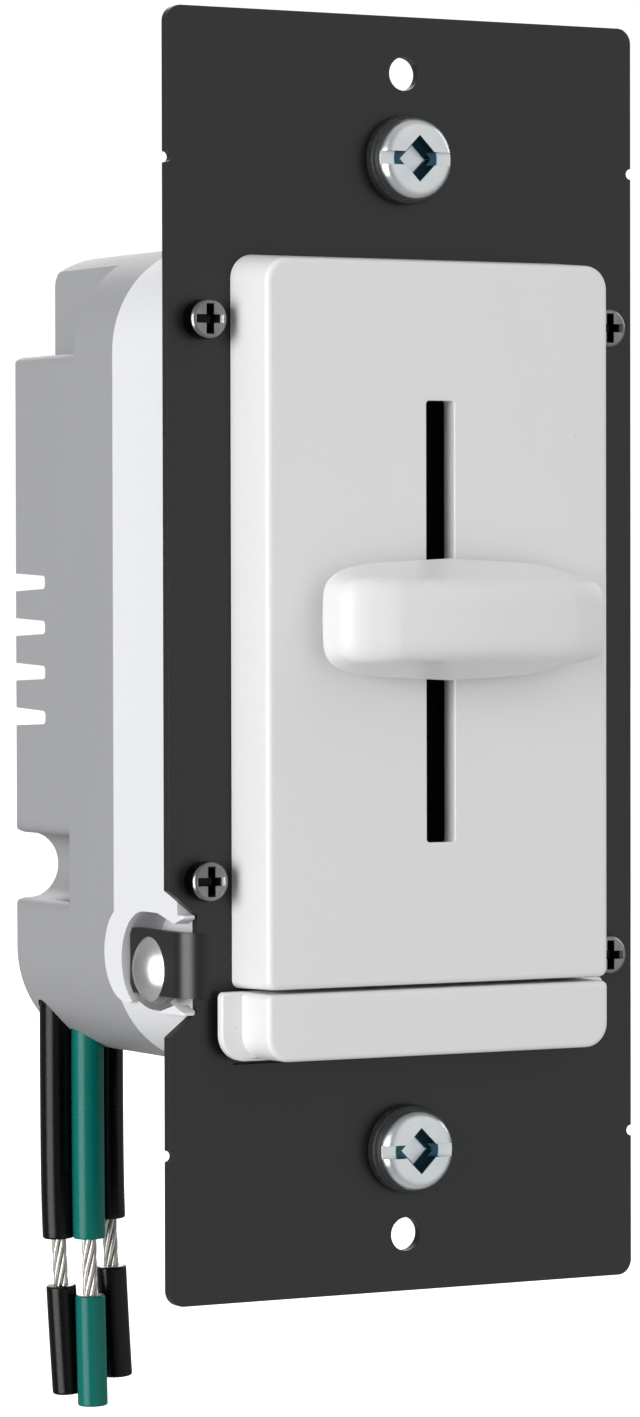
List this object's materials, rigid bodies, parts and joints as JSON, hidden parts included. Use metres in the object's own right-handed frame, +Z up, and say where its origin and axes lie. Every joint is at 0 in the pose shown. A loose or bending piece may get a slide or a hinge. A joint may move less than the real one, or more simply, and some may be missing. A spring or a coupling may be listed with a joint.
{
  "type": "slide control switch",
  "caption": "Wall-box slide control with a T-grip slider in a slotted face, a push pad below, a strap plate, a two-part housing and stripped leads.",
  "frame": {"origin": "centre of the mounting plate's back face, midway between the two box screws", "axes": "+X to the right seen from the front, +Y back into the wall box, +Z up"},
  "size_m": [0.0444, 0.0465, 0.1182],
  "materials": {
    "plate_paint": "smooth charcoal paint",
    "zinc": "clear zinc plate",
    "black_fibre": "pressed black fibre",
    "black_screw": "black oxide",
    "nickel": "bright nickel",
    "tinned": "tinned copper",
    "white_gloss": "fine gloss",
    "white_matt": "fine satin",
    "grey_shell": "fine satin",
    "pot_steel": "tin plate",
    "phenolic": "paper laminate",
    "black_nylon": "moulded",
    "bronze": "sprung strip",
    "copper": "stamped strip",
    "spring_steel": "drawn wire",
    "board_laminate": "paper laminate",
    "black_epoxy": "moulded epoxy",
    "ferrite": "fired ferrite",
    "enamelled_wire": "enamelled",
    "film_case": "dipped epoxy",
    "diode_glass": "sealed glass body",
    "resistor_body": "lacquered",
    "trimmer_blue": "moulded",
    "black_jacket": "soft vinyl sheen",
    "green_jacket": "soft vinyl sheen"
  },
  "bodies": {
    "root": {"mounting_plate": "plate_paint", "mounting_screws": "zinc", "screw_retaining_washers": "black_fibre", "housing_screws": "black_screw", "ground_rivet": "nickel", "ground_ring_terminal": "tinned", "face_panel": "white_gloss", "pad_return_springs": "spring_steel", "front_frame": "white_matt", "rear_housing": "grey_shell", "slide_pot_can": "pot_steel", "slide_pot_track": "phenolic", "switch_case": "black_nylon", "switch_fixed_contacts": "copper", "switch_plunger_spring": "spring_steel", "insulating_sheet": "black_fibre", "circuit_board": "board_laminate", "triac": "black_epoxy", "triac_rivet": "nickel", "choke_core": "ferrite", "choke_winding": "enamelled_wire", "snubber_capacitor": "film_case", "timing_capacitor": "film_case", "diac": "diode_glass", "resistors": "resistor_body", "low_speed_trimmer": "trimmer_blue", "line_lead_tail": "tinned", "load_lead_tail": "tinned", "ground_lead_tail": "green_jacket", "line_lead_jacket": "black_jacket", "line_lead_strands": "tinned", "line_lead_slug": "black_jacket", "ground_lead_jacket": "green_jacket", "ground_lead_strands": "tinned", "ground_lead_slug": "green_jacket", "load_lead_jacket": "black_jacket", "load_lead_strands": "tinned", "load_lead_slug": "black_jacket"},
    "slider": {"slide_knob": "white_gloss", "wiper_carriage": "black_nylon", "wiper_contact": "bronze"},
    "pad": {"push_pad": "white_gloss"},
    "plunger": {"switch_plunger": "white_matt", "switch_contact_bridge": "copper"}
  },
  "joints": [
    {"name": "knob_slide", "type": "slide", "parent": "root", "child": "slider", "axis": [0, 0, 1], "range_m": [-0.0152, 0.0148]},
    {"name": "pad_press", "type": "slide", "parent": "root", "child": "pad", "axis": [0, 1, 0], "range_m": [0, 0.0008], "stiffness_N_per_m": 600, "springref_m": -0.0008, "deforming": ["pad_return_springs"]},
    {"name": "plunger_press", "type": "slide", "parent": "root", "child": "plunger", "axis": [0, 1, 0], "range_m": [0, 0.0008], "deforming": ["switch_plunger_spring"]}
  ],
  "couplings": [
    {"joint": "plunger_press", "follows": "pad_press", "ratio": 1}
  ]
}
